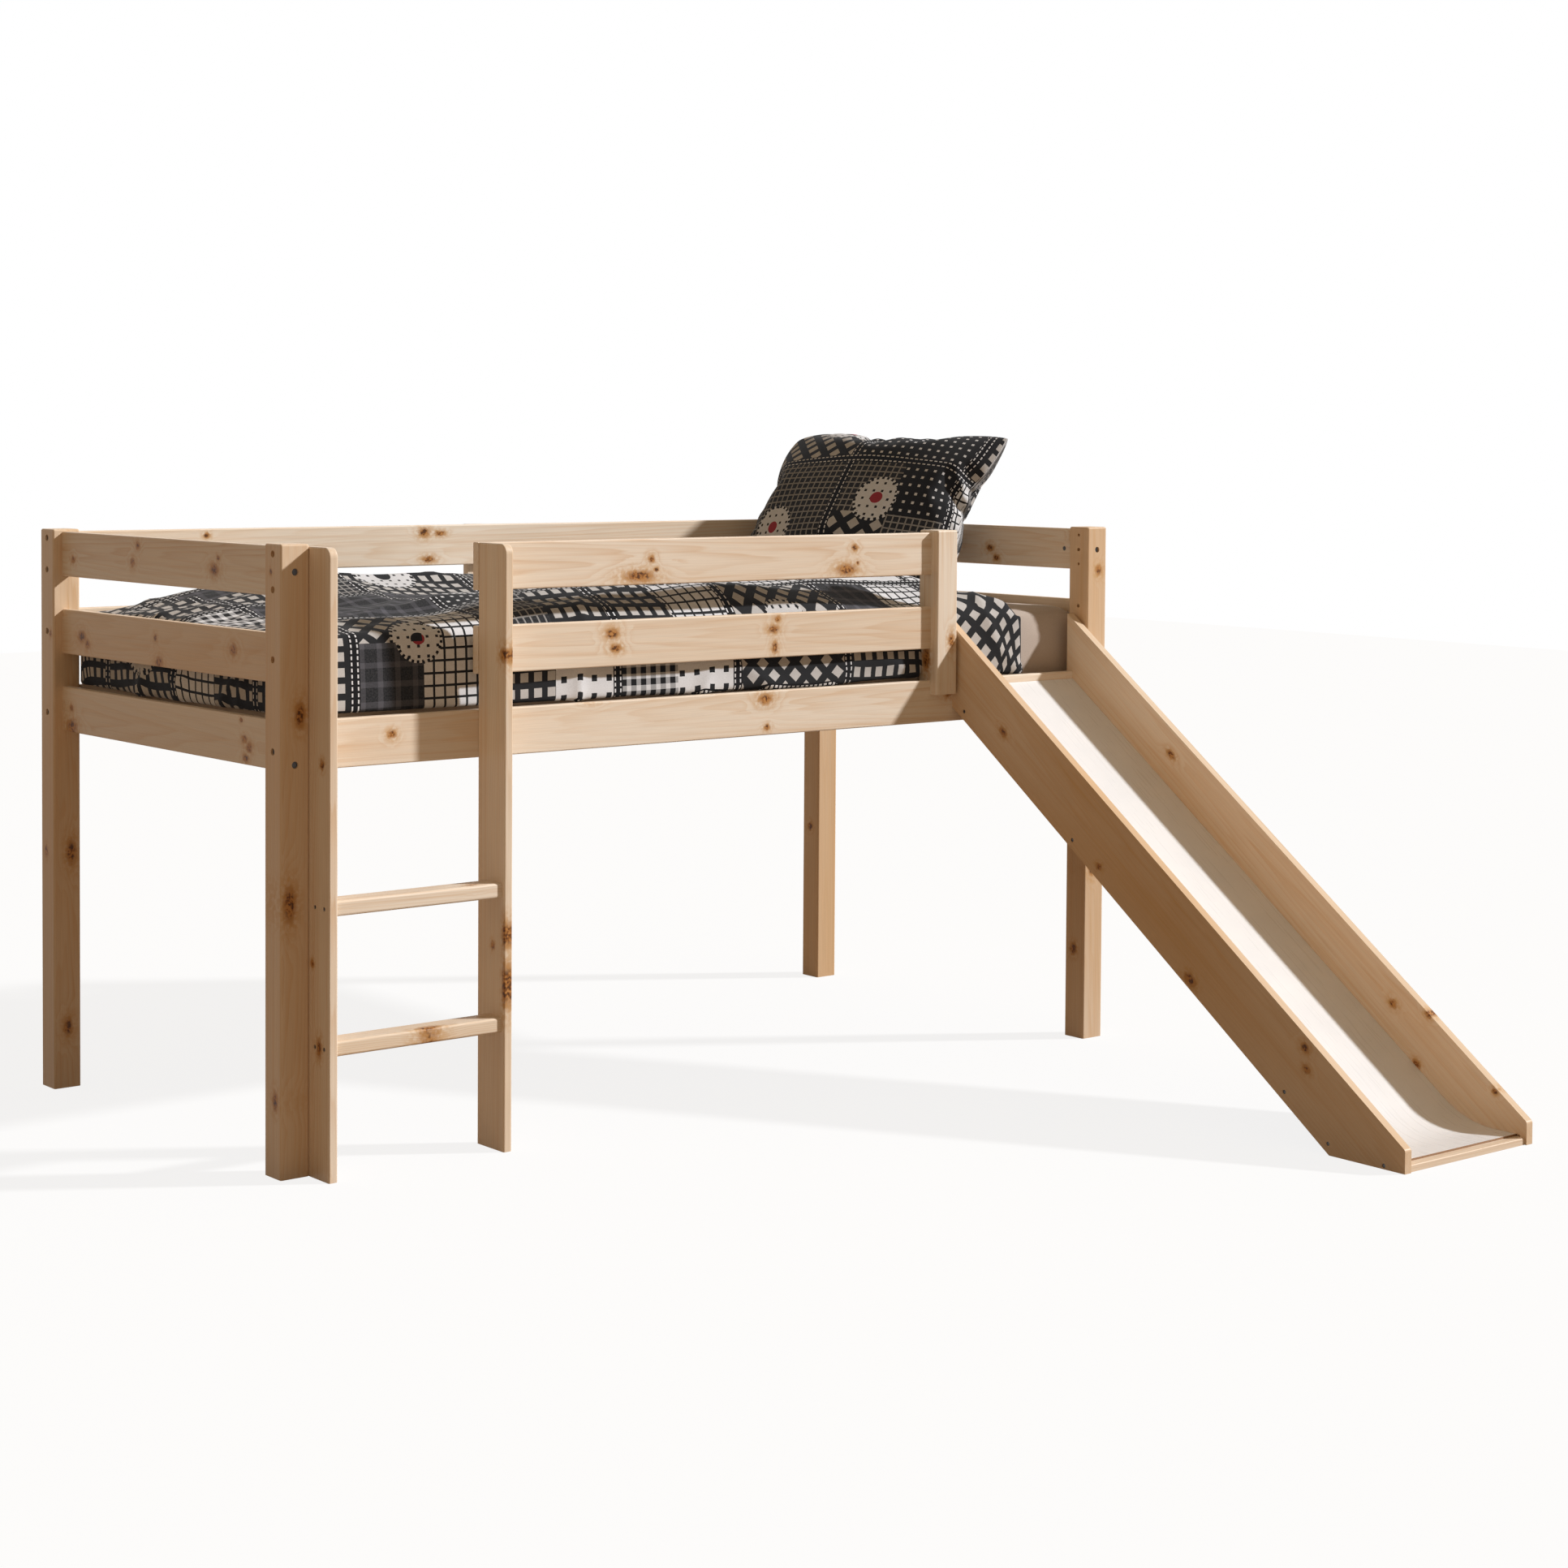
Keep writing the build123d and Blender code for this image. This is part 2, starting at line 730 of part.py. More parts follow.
def duvet_outside():
    """The duvet with the room under it filled, longer than it is at the slide end."""
    width = mattress_back - mattress_front + 2 * duvet_out
    length = bed_length - inner_face - duvet_left
    middle = Pos(duvet_left + length / 2, bed_width / 2, 0)
    layers = [(duvet_hem, 0), (duvet_hem + duvet_belly_rise, 0)]
    layers += [(mattress_top + up * duvet_crown, inset * width / 2) for up, inset in duvet_layer_shares]
    sections = []
    for z, inset in layers:
        outline = RectangleRounded(length - 2 * inset, width - 2 * inset, duvet_corner_round)
        sections.append(middle * Pos(0, 0, z) * outline)
    return loft(sections, ruled=True)


def duvet_end_section():
    """Side view of the duvet's length, with its top falling away and rounding over at the slide end."""
    crest = mattress_top + 2 * duvet_crown
    corner_z = mattress_top + duvet_end_lip
    slope_run = (crest - corner_z) / math.tan(math.radians(duvet_end_slope))
    slope_start = (duvet_right - slope_run, crest)
    low = duvet_hem - cut_overrun
    over = FilletPolyline((duvet_right, low), (duvet_right, corner_z), slope_start, radius=duvet_end_round)
    rest = Polyline(slope_start, (0, crest), (0, low), (duvet_right, low))
    return Plane.XZ * make_face([*over.edges(), *rest.edges()])


def duvet_heap():
    """The duvet with the room under it filled, cut to its length."""
    return duvet_outside() & (Pos(0, bed_width, 0) * extrude(duvet_end_section(), bed_width))


def duvet():
    body = duvet_heap() - mattress_solid(soft_clearance)
    post_room = block(
        guard_post_left - duvet_post_clearance,
        0,
        duvet_hem - cut_overrun,
        post_size + 2 * duvet_post_clearance,
        mattress_front + duvet_post_clearance,
        bed_height,
    )
    return body - post_room


nodes["duvet"] = duvet()


# Pillow: two crowned sides that meet in a seam with drawn-in edges and pointed corners

# Height as a share of half the thickness, draw-in as a share of half the height, and bulge of the edges
pillow_layer_shares = (
    (0.3, 0.13, -0.02),
    (0.58, 0.22, 0.03),
    (0.8, 0.36, 0.08),
    (0.95, 0.58, 0.09),
    (1, 0.8, 0.07),
)
pillow_seam_bulge_share = -0.13


def pillow_outline(z, inset, bulge):
    """Four arcs between corners that are drawn in by inset, each swelling by bulge."""
    x = pillow_width / 2 - inset
    y = pillow_height / 2 - inset
    arcs = [
        ThreePointArc((-x, -y), (0, -y - bulge), (x, -y)),
        ThreePointArc((x, -y), (x + bulge, 0), (x, y)),
        ThreePointArc((x, y), (0, y + bulge), (-x, y)),
        ThreePointArc((-x, y), (-x - bulge, 0), (-x, -y)),
    ]
    return Pos(0, pillow_height / 2, z) * make_face([arc.edge() for arc in arcs])


def pillow_solid():
    """The pillow as it is sewn, with the middle of its lower edge at the origin."""
    half = pillow_height / 2
    side = [(pillow_seam / 2, 0, pillow_seam_bulge_share * half)]
    for up, inset, bulge in pillow_layer_shares:
        z = pillow_seam / 2 + up * (pillow_thickness - pillow_seam) / 2
        side.append((z, inset * half, bulge * half))
    layers = [(-z, inset, bulge) for z, inset, bulge in reversed(side)] + side
    return loft([pillow_outline(*layer) for layer in layers], ruled=True)


def pillow():
    """The pillow in its place, pressed in where it lies on the duvet, the mattress and the end board."""
    turn, lean = math.radians(pillow_turn), math.radians(pillow_lean)
    along = (-math.sin(turn), math.cos(turn), 0)
    back = (math.cos(turn) * math.cos(lean), math.sin(turn) * math.cos(lean), -math.sin(lean))
    board_face = bed_length - inner_face
    foot_z = mattress_top + pillow_foot_rise
    leaning = (stile_top - foot_z) * math.tan(lean) * math.cos(turn)
    turning = pillow_touch_width_share * pillow_width * math.sin(turn)
    swelling = pillow_touch_thickness_share * pillow_thickness / 2 / math.cos(lean)
    foot_x = board_face + pillow_dent - leaning - turning - swelling
    foot_y = bed_width - inner_face - pillow_side_gap - pillow_width / 2 * math.cos(turn)
    body = Plane(origin=(foot_x, foot_y, foot_z), x_dir=along, z_dir=back) * pillow_solid()
    board_room = block(
        board_face - soft_clearance,
        0,
        top_board_z,
        board_thickness + 2 * soft_clearance,
        bed_width,
        board_height + soft_clearance,
    )
    board_room = rounded(board_room, Axis.Y, edge_round + soft_clearance)
    return body - [board_room, Pos(0, 0, soft_clearance) * duvet_heap(), mattress_solid(soft_clearance)]


nodes["pillow"] = pillow()


# The origin goes to the floor under the middle of the whole

extent = Compound(list(nodes.values())).bounding_box()
to_origin = Pos(-extent.center().X, -extent.center().Y, -extent.min.Z)
os.makedirs("parts", exist_ok=True)
for name, shape in nodes.items():
    export_step(to_origin * shape, f"parts/{name}.step")
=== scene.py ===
"""Looks of a children's loft bed with a ladder and a slide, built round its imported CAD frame."""

import math
import random
from functools import partial

import bpy
import numpy as np
from mathutils import Matrix, Vector, noise
from mathutils.bvhtree import BVHTree


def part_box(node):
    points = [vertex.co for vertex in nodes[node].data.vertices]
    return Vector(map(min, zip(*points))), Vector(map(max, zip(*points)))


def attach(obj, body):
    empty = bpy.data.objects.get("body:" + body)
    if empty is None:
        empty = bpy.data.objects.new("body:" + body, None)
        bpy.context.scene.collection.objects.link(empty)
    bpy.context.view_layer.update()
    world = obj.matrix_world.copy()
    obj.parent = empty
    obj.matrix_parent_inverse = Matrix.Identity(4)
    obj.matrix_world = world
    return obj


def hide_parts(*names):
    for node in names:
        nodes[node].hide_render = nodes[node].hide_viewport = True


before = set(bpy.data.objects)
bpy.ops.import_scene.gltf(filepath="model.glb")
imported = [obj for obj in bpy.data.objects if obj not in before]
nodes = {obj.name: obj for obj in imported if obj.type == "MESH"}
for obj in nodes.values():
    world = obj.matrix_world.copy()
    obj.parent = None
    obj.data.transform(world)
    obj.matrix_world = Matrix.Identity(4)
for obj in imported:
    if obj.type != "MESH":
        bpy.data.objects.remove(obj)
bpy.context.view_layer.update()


# Corner posts
# Four 58 mm square posts of Scandinavian pine, planed, rounded at their edges and finished with clear satin
# lacquer. The boards meet them with bolts and dowels, whose holes are drilled in the CAD bodies.

# The bed's own millimetres are counted from the foot of this post, at its outer corner
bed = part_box("post_front_left")[0]
MM = 0.001
draw = random.Random(4)


def linear(hex_colour):
    """Linear RGBA of an sRGB hex value."""
    parts = [int(hex_colour[i : i + 2], 16) / 255 for i in (1, 3, 5)]
    return [c / 12.92 if c <= 0.04045 else ((c + 0.055) / 1.055) ** 2.4 for c in parts] + [1.0]


def add(tree, kind, inputs=(), out=0, stops=(), **settings):
    """Adds a node with its settings, fills or links its inputs and returns one of its outputs.

    Inputs come in their order, or in a dict by number or name. A ramp's stops are pairs of a place and a
    colour, which is a hex value or a grey."""
    node = tree.nodes.new("ShaderNode" + kind)
    for name, value in settings.items():
        setattr(node, name, value)
    for key, value in (inputs if isinstance(inputs, dict) else dict(enumerate(inputs))).items():
        if isinstance(value, bpy.types.NodeSocket):
            tree.links.new(value, node.inputs[key])
        else:
            node.inputs[key].default_value = value
    if stops:
        elements = node.color_ramp.elements
        while len(elements) < len(stops):
            elements.new(0.5)
        for element, (position, colour) in zip(elements, stops):
            element.position = position
            element.color = linear(colour) if isinstance(colour, str) else (colour, colour, colour, 1)
    return node.outputs[out]


# What makes a Mix node mix colours: its inputs are then 0, 6 and 7
COLOURS = {"out": 2, "data_type": "RGBA"}


def new_material(name, **values):
    """A material with its surface shader, whose uniform values are set on the shader's own sockets."""
    material = bpy.data.materials.new(name)
    material.use_nodes = True
    shader = material.node_tree.nodes["Principled BSDF"]
    for key, value in values.items():
        shader.inputs[key.replace("_", " ")].default_value = value
    return material, material.node_tree, shader


def finish_with(material, *names):
    """Gives CAD nodes one material."""
    for name in names:
        nodes[name].data.materials.clear()
        nodes[name].data.materials.append(material)


# Axes of an upright board, as world directions: its grain, its width and its thickness
UPRIGHT = ((0, 0, 1), (1, 0, 0), (0, 1, 0))

# Spring wood is cream and summer wood is honey brown, a little different from board to board
EARLY_WOOD = ("#f0e3d2", "#eddecb", "#f1e5d5", "#ebdbc6")
LATE_WOOD = ("#d8b288", "#d4aa7e", "#dbb790", "#d2a77a")

# Growth rings in millimetres: how far apart they lie, about twice as far as real ones so that they show, how
# far their middle sways along the board, and by how many rings they drift
RING_GAP = 5.0
RING_SWAY = 14
RING_DRIFT = 2.4

# Knots: how ragged they are in millimetres, how much larger they are drawn than given, how far the rings
# bulge round them in half widths, and where each part starts to fade and ends, as shares of the knot's size
KNOT_RAGGED = 6
KNOT_GROWN = 1.15
KNOT_BULGE = 1.3
KNOT_BULGE_FADES = (0.4, 4.0)
KNOT_FADES = {"heart": (0.55, 0.9), "rim": (0.95, 1.35), "stain": (0.9, 2.6)}


def pine(board, axes, knots=(), side_knots=(), depth=70.0, golden=0.0):
    """Gives a CAD board clear-lacquered pine, whose rings run round a pith beside the board.

    Coordinates are millimetres from the board's middle: x along the grain, y across, z through it. A knot is
    (x, y, half length, half width), and runs through the board. Side knots run across it instead. The lacquer
    is thin and satin, so that it only softens the light on the wood."""
    low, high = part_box(board)
    turn = Matrix([list(axis) for axis in axes]).transposed().to_euler()
    material, tree, shader = new_material(
        "lacquered_pine_" + board, Specular_IOR_Level=0.2, Coat_Weight=0.04, Coat_Roughness=0.25
    )
    put = partial(add, tree)
    place = put("TexCoord", out=3)
    centred = {0: place, "Location": (low + high) / 2, "Rotation": turn, "Scale": (MM, MM, MM)}
    place = put("Mapping", centred, vector_type="TEXTURE")
    shift = Vector([draw.uniform(-900, 900) for _ in range(3)])
    shifted = put("VectorMath", (place, shift), operation="ADD")

    def grain(length, width, detail=2.0, out=0):
        """Noise drawn out along the board, by its length and width in millimetres."""
        drawn = put("VectorMath", (shifted, (1 / length, 1 / width, 1 / width)), operation="MULTIPLY")
        return put("TexNoise", {"Vector": drawn, "Scale": 1.0, "Detail": detail}, out=out)

    # The pith leans against the board, so that the rings come out as long arches
    pith = Vector((0, draw.uniform(-22, 22), -depth * draw.uniform(0.8, 1.4)))
    lean = Vector((0, draw.uniform(-0.008, 0.008), draw.uniform(0.012, 0.03) * draw.choice((-1, 1))))
    along = put("SeparateXYZ", (place,))
    leaned = put("VectorMath", {0: lean, "Scale": along}, operation="SCALE")
    sway = (grain(900, 110, out=1), (0, RING_SWAY, RING_SWAY), -pith)
    bent = put("VectorMath", sway, operation="MULTIPLY_ADD")
    around = put("VectorMath", (place, leaned), operation="ADD")
    around = put("VectorMath", (around, (0, 1, 1), bent), operation="MULTIPLY_ADD")
    radius = put("VectorMath", (around,), out=1, operation="LENGTH")

    ragged = put("TexNoise", {"Vector": shifted, "Scale": 0.13, "Detail": 2.0}, out=1)
    ragged = put("VectorMath", (ragged, (KNOT_RAGGED,) * 3, place), operation="MULTIPLY_ADD")
    # A knot's place and size are given along the board and either across it or through it
    parts = dict.fromkeys(KNOT_FADES, 0.0)
    for spots, (y, z) in ((knots, (1, 0)), (side_knots, (0, 1))):
        for x, across, half_length, half_width in spots:
            middle = Vector((x, across * y, across * z)) + Vector((KNOT_RAGGED / 2,) * 3)
            size = Vector((1 / half_length, y / half_width, z / half_width)) / KNOT_GROWN
            away = put("VectorMath", (ragged, middle), operation="SUBTRACT")
            away = put("VectorMath", (away, size), operation="MULTIPLY")
            away = put("VectorMath", (away,), out=1, operation="LENGTH")
            for name, fades in KNOT_FADES.items():
                near = put("MapRange", (away, *fades, 1.0, 0.0))
                parts[name] = put("Math", (parts[name], near), operation="MAXIMUM")
            near = put("MapRange", (away, *KNOT_BULGE_FADES, 1.0, 0.0), interpolation_type="SMOOTHSTEP")
            radius = put("Math", (near, half_width * KNOT_BULGE, radius), operation="MULTIPLY_ADD")

    drift = put("Math", (grain(2600, 19, 1.0), RING_DRIFT), operation="MULTIPLY")
    ring = put("Math", (radius, 1 / RING_GAP, drift), operation="MULTIPLY_ADD")
    ring = put("Math", (ring,), operation="FRACT")
    ring = put("ValToRGB", (ring,), stops=[(0, 0.1), (0.4, 0.2), (0.78, 0.8), (0.9, 1.0), (1, 0.1)])
    contrast = put("MapRange", (grain(900, 40), 0.3, 0.7, 0.08, 0.52))
    ring = put("Math", (ring, contrast), operation="MULTIPLY")
    streaks = put("MapRange", (grain(1100, 10, 3.0), 0.5, 0.8, 0.0, 0.42))
    clouds = put("MapRange", (grain(700, 130, 1.0), 0.35, 0.75, golden * 0.8, golden * 1.2 + 0.22))
    fibre = grain(90, 1.6)

    early, late = (linear(draw.choice(colours)) for colours in (EARLY_WOOD, LATE_WOOD))
    colour = early
    for share, over in ((ring, late), (streaks, linear("#d2a676")), (clouds, linear("#d2a46a"))):
        colour = put("Mix", {0: share, 6: colour, 7: over}, **COLOURS)
    light = put("MapRange", (fibre, 0.3, 0.7, 0.95, 1.03))
    colour = put("VectorMath", {0: colour, "Scale": light}, operation="SCALE")
    if knots or side_knots:
        # A knot has a small dark heart and a brown rim, and the wood round it is stained golden in blotches
        blotch = put("TexNoise", {"Vector": shifted, "Scale": 0.11, "Detail": 2.0})
        blotch = put("MapRange", (blotch, 0.38, 0.56, 0.1, 0.75))
        stain = put("Math", (parts["stain"], blotch), operation="MULTIPLY")
        rim = put("Math", (parts["rim"], 0.62), operation="MULTIPLY")
        heart = put("TexNoise", {"Vector": place, "Scale": 0.16, "Detail": 1.0})
        heart = put("ValToRGB", (heart,), stops=[(0.37, "#5b3a21"), (0.5, "#96602f"), (0.62, "#c08a50")])
        for share, over in ((stain, linear("#cb9c5f")), (rim, linear("#b37e45")), (parts["heart"], heart)):
            colour = put("Mix", {0: share, 6: colour, 7: over}, **COLOURS)
    tree.links.new(colour, shader.inputs["Base Color"])

    # Planed wood is a little rougher and higher along its fibres and its summer wood
    tree.links.new(put("MapRange", (fibre, 0.3, 0.7, 0.4, 0.5)), shader.inputs["Roughness"])
    height = put("Math", (ring, 0.5, fibre), operation="MULTIPLY_ADD")
    bump = put("Bump", {"Height": height, "Strength": 0.3, "Distance": 0.3 * MM})
    tree.links.new(bump, shader.inputs["Normal"])
    finish_with(material, board)


def some_knots(count, length, width):
    """Small knots at random places on a board of that length and width."""
    found = []
    for _ in range(count):
        size = draw.uniform(4, 9)
        spot = (draw.uniform(-0.45, 0.45) * length, draw.uniform(-0.4, 0.4) * width)
        found.append((*spot, size * draw.uniform(1, 1.5), size))
    return found


knots, side_knots = [(264, 10, 20, 9), (-75, -11, 27, 11)], [(-430, -9, 15, 8), (520, 6, 5, 4)]
pine("post_front_left", UPRIGHT, knots, side_knots, golden=0.25)
knots, side_knots = [(-88, 9, 22, 9), (-445, 1, 16, 8)], [(359, -15, 6, 5), (-87, 6, 10, 6)]
pine("post_rear_left", UPRIGHT, knots, side_knots, golden=0.3)
knots = [(475, 5, 10, 8), (-190, -8, 14, 8)]
# The two right posts get more golden tone than their wood has, as painted shade that darkens and warms them
pine("post_front_right", UPRIGHT, knots, some_knots(2, 1000, 40), golden=0.5)
pine("post_rear_right", UPRIGHT, some_knots(2, 1000, 40), some_knots(2, 1000, 40), golden=0.5)


# Rails and guard boards
# Planed pine boards 90 mm wide and 18 mm thick with rounded edges, lying between the posts. Knots sit in
# pairs, where whorls of branches left the trunk.

ALONG_X = ((1, 0, 0), (0, 0, 1), (0, -1, 0))
ALONG_Y = ((0, 1, 0), (0, 0, 1), (1, 0, 0))

knots = [(-350, 62, 14, 10), (84, 28, 15, 9), (89, -29, 7, 5), (588, 19, 10, 9), (-800, 10, 8, 7)]
pine("front_side_rail", ALONG_X, knots)
pine("rear_side_rail", ALONG_X, some_knots(5, 1900, 90))
pine("rear_guard_lower", ALONG_X, some_knots(5, 1900, 90))
pine("rear_guard_upper", ALONG_X, [(-107, 26, 12, 5), (-137, -31, 14, 6)] + some_knots(3, 1700, 90))
knots = [(-206, -7, 13, 10), (-222, 16, 5, 4), (122, -6, 8, 7), (100, 28, 7, 6), (380, -10, 7, 6)]
pine("left_end_guard_upper", ALONG_Y, knots)
knots = [(343, -6, 14, 10), (318, -20, 9, 8), (-278, 6, 11, 9), (28, 10, 6, 6), (13, -36, 12, 9)]
pine("left_end_guard_lower", ALONG_Y, knots, golden=0.3)
knots = [(-308, 36, 5, 4), (-320, 2, 8, 6), (-338, -12, 9, 8), (-325, -33, 9, 6)]
pine("left_end_rail", ALONG_Y, knots + [(388, -34, 20, 13), (390, 4, 7, 6)])
pine("right_end_guard_upper", ALONG_Y, [(-425, 28, 9, 7)] + some_knots(2, 700, 80))
pine("right_end_guard_lower", ALONG_Y, some_knots(4, 800, 80))
pine("right_end_rail", ALONG_Y, some_knots(4, 800, 80))
knots = [(-168, 5, 7, 6), (-156, -16, 5, 4), (-198, -28, 30, 10)]
pine("front_guard_upper", ALONG_X, knots + [(358, 17, 7, 6), (367, -14, 4, 4), (336, -28, 22, 10)])
knots = [(-263, 19, 13, 9), (-254, -10, 12, 7), (152, 33, 7, 5), (142, 13, 12, 7), (146, -24, 7, 10)]
pine("front_guard_lower", ALONG_X, knots)


# Guard post, stiffener and ladder
# The guard post is a short length of post stock slotted over the side rail. The stiffener ties the boards at
# the back. The ladder has two 18 mm stiles on edge and two rungs, rounded where feet and hands meet them.

FLAT_X = ((1, 0, 0), (0, 1, 0), (0, 0, 1))

pine("guard_post", UPRIGHT, [(-60, 12, 14, 7)], [(-100, 4, 22, 9), (130, 9, 6, 5)])
pine("rear_stiffener", UPRIGHT, some_knots(1, 300, 30), depth=40.0)
pine("ladder_stile_left", UPRIGHT, (), [(-180, 14, 6, 5), (180, -20, 8, 6), (-330, -10, 14, 7)])
side_knots = [(361, -40, 12, 10), (-160, -44, 20, 6), (-255, -44, 34, 6), (-184, -6, 7, 5)]
pine("ladder_stile_right", UPRIGHT, (), side_knots)
pine("ladder_rung_1", FLAT_X, [(20, -20, 22, 7)], depth=50.0)
pine("ladder_rung_2", FLAT_X, [(120, -10, 10, 5)], depth=50.0)


# Slats and ledgers
# Fourteen sawn and planed pine slats lie on two pine strips along the side rails, screwed down at both ends.

FLAT_Y = ((0, 1, 0), (-1, 0, 0), (0, 0, 1))

for number in range(1, 15):
    pine(f"slat_{number:02d}", FLAT_Y, some_knots(2, 800, 60))
for side in ("front", "rear"):
    pine("slat_ledger_" + side, ALONG_X, some_knots(3, 1900, 14), depth=40.0)


# Slide stringers and battens
# Two 140 mm pine boards on edge carry the sliding panel in grooves. Their grain runs down the slope, which
# starts at the top of their short front edge.

FRONT_EDGE = 44
low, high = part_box("slide_stringer_left")
fall = math.atan2(high.z - low.z - FRONT_EDGE * MM, high.y - low.y)
DOWN_SLOPE = ((0, -math.cos(fall), -math.sin(fall)), (0, -math.sin(fall), math.cos(fall)), (-1, 0, 0))


def on_stringer(y, z):
    """Board coordinates of a point of a stringer, given in the bed's millimetres."""
    dy = bed.y + y * MM - (low.y + high.y) / 2
    dz = bed.z + z * MM - (low.z + high.z) / 2
    return tuple(sum(a * b for a, b in zip(axis, (0, dy, dz))) / MM for axis in DOWN_SLOPE[:2])


near = [(-671, 278, 14, 9), (-964, 193, 9, 7), (-968, 152, 8, 6), (-137, 720, 10, 7), (-420, 470, 7, 6)]
far = [(-880, 220, 9, 7), (-940, 110, 9, 7), (-967, 213, 8, 6), (-1128, 89, 6, 5), (-278, 662, 12, 6)]
# The near stringer's golden tone is raised as painted warm shade, and the far stringer's is lowered as
# painted bounce light from the panel
for side, spots, golden in (("left", near, 0.45), ("right", far, 0.15)):
    knots = [(*on_stringer(y, z), half_length, half_width) for y, z, half_length, half_width in spots]
    pine("slide_stringer_" + side, DOWN_SLOPE, knots, depth=90.0, golden=golden)
for number in range(1, 5):
    pine(f"slide_cross_batten_{number}", FLAT_X, some_knots(1, 300, 16), depth=30.0)
pine("slide_front_batten", FLAT_X, some_knots(1, 300, 70), depth=60.0)


# Slide panel
# A thin hardboard sheet faced with white melamine laminate, smooth and slightly glossy. Its cut edges and its
# back show the brown board. Faint scuffs break the shine.

laminate, tree, shader = new_material("white_melamine_laminate", IOR=1.5)
place = add(tree, "TexCoord", out=3)
facing = add(tree, "NewGeometry", out=1)
facing_up = add(tree, "SeparateXYZ", (facing,), out=2)
bare = add(tree, "MapRange", (facing_up, 0.15, 0.3, 1.0, 0.0))
cloud = add(tree, "TexNoise", {"Vector": place, "Scale": 9.0, "Detail": 3.0})
white = add(tree, "ValToRGB", (cloud,), stops=[(0.3, "#eaecef"), (0.7, "#f1f2f4")])
# The board's chips are about a millimetre long
grit = add(tree, "TexNoise", {"Vector": place, "Scale": 900.0, "Detail": 2.0})
board = add(tree, "ValToRGB", (grit,), stops=[(0.3, "#7c5a3c"), (0.7, "#a27a54")])
colour = add(tree, "Mix", {0: bare, 6: white, 7: board}, **COLOURS)
tree.links.new(colour, shader.inputs["Base Color"])
# Scuffs run down the slide, about 4 mm wide and 110 mm long
scuff = add(tree, "Mapping", {0: place, "Scale": (240, 9, 9)})
scuff = add(tree, "TexNoise", {"Vector": scuff, "Scale": 1.0, "Detail": 3.0})
gloss = add(tree, "MapRange", (scuff, 0.35, 0.75, 0.26, 0.42))
tree.links.new(gloss, shader.inputs["Roughness"])
bump = add(tree, "Bump", {"Height": scuff, "Strength": 0.08, "Distance": 0.5 * MM})
tree.links.new(bump, shader.inputs["Normal"])
finish_with(laminate, "slide_panel")


# Bolts, nuts and screws
# Zinc-plated steel, sunk in drilled holes, with spangles of about 1.5 mm. Its dark grey is partly painted
# shade of the deep holes, as the plating itself is brighter.

steel, tree, shader = new_material("zinc_plated_steel", Metallic=1.0)
place = add(tree, "TexCoord", out=3)
spangle = add(tree, "TexNoise", {"Vector": place, "Scale": 700.0, "Detail": 2.0})
# These dark greys are partly painted shade of the sunk holes
colour = add(tree, "ValToRGB", (spangle,), stops=[(0.3, "#484644"), (0.7, "#676563")])
tree.links.new(colour, shader.inputs["Base Color"])
gloss = add(tree, "MapRange", (spangle, 0.3, 0.7, 0.45, 0.6))
tree.links.new(gloss, shader.inputs["Roughness"])
finish_with(steel, "frame_bolts", "barrel_nuts", *(name for name in nodes if name.endswith("_screws")))


# Dowels
# Fluted beech pegs glued in the board ends, pale pinkish brown with short dark flecks of under 2 mm.

beech, tree, shader = new_material("beech_dowel", Roughness=0.6)
place = add(tree, "TexCoord", out=3)
fleck = add(tree, "TexNoise", {"Vector": place, "Scale": 600.0, "Detail": 2.0})
colour = add(tree, "ValToRGB", (fleck,), stops=[(0.35, "#b98c5f"), (0.6, "#d2a97c")])
tree.links.new(colour, shader.inputs["Base Color"])
finish_with(beech, "dowels")


# Mattress in its fitted sheet
# A foam block drawn tight into a plain taupe cotton sheet. The cloth is pulled over the edges, so that it
# lies smooth on top and creases lightly at the corners.


def run(operator, piece, **settings):
    """Runs one of Blender's object operators on a single piece."""
    bpy.ops.object.select_all(action="DESELECT")
    piece.select_set(True)
    bpy.context.view_layer.objects.active = piece
    operator(**settings)


def applied(piece, kind, **settings):
    """Adds a modifier with its settings and applies it."""
    modifier = piece.modifiers.new(kind.lower(), kind)
    for name, value in settings.items():
        setattr(modifier, name, value)
    run(bpy.ops.object.modifier_apply, piece, modifier=modifier.name)


def remeshed(node, name, voxel):
    """An even mesh of a soft CAD node, as a new piece."""
    mesh = nodes[node].data.copy()
    mesh.materials.clear()
    piece = bpy.data.objects.new(name, mesh)
    bpy.context.scene.collection.objects.link(piece)
    applied(piece, "WELD", merge_threshold=0.0001)
    applied(piece, "REMESH", mode="VOXEL", voxel_size=voxel)
    return piece


def points(piece):
    """Places of a piece's vertices."""
    co = np.empty(len(piece.data.vertices) * 3)
    piece.data.vertices.foreach_get("co", co)
    return co.reshape(-1, 3)


def normals(piece):
    """Outward directions at a piece's vertices."""
    out = np.empty(len(piece.data.vertices) * 3)
    piece.data.vertex_normals.foreach_get("vector", out)
    return out.reshape(-1, 3)


def move_points(piece, co):
    """Puts a piece's vertices at new places."""
    piece.data.vertices.foreach_set("co", np.asarray(co, float).ravel())
    piece.data.update()


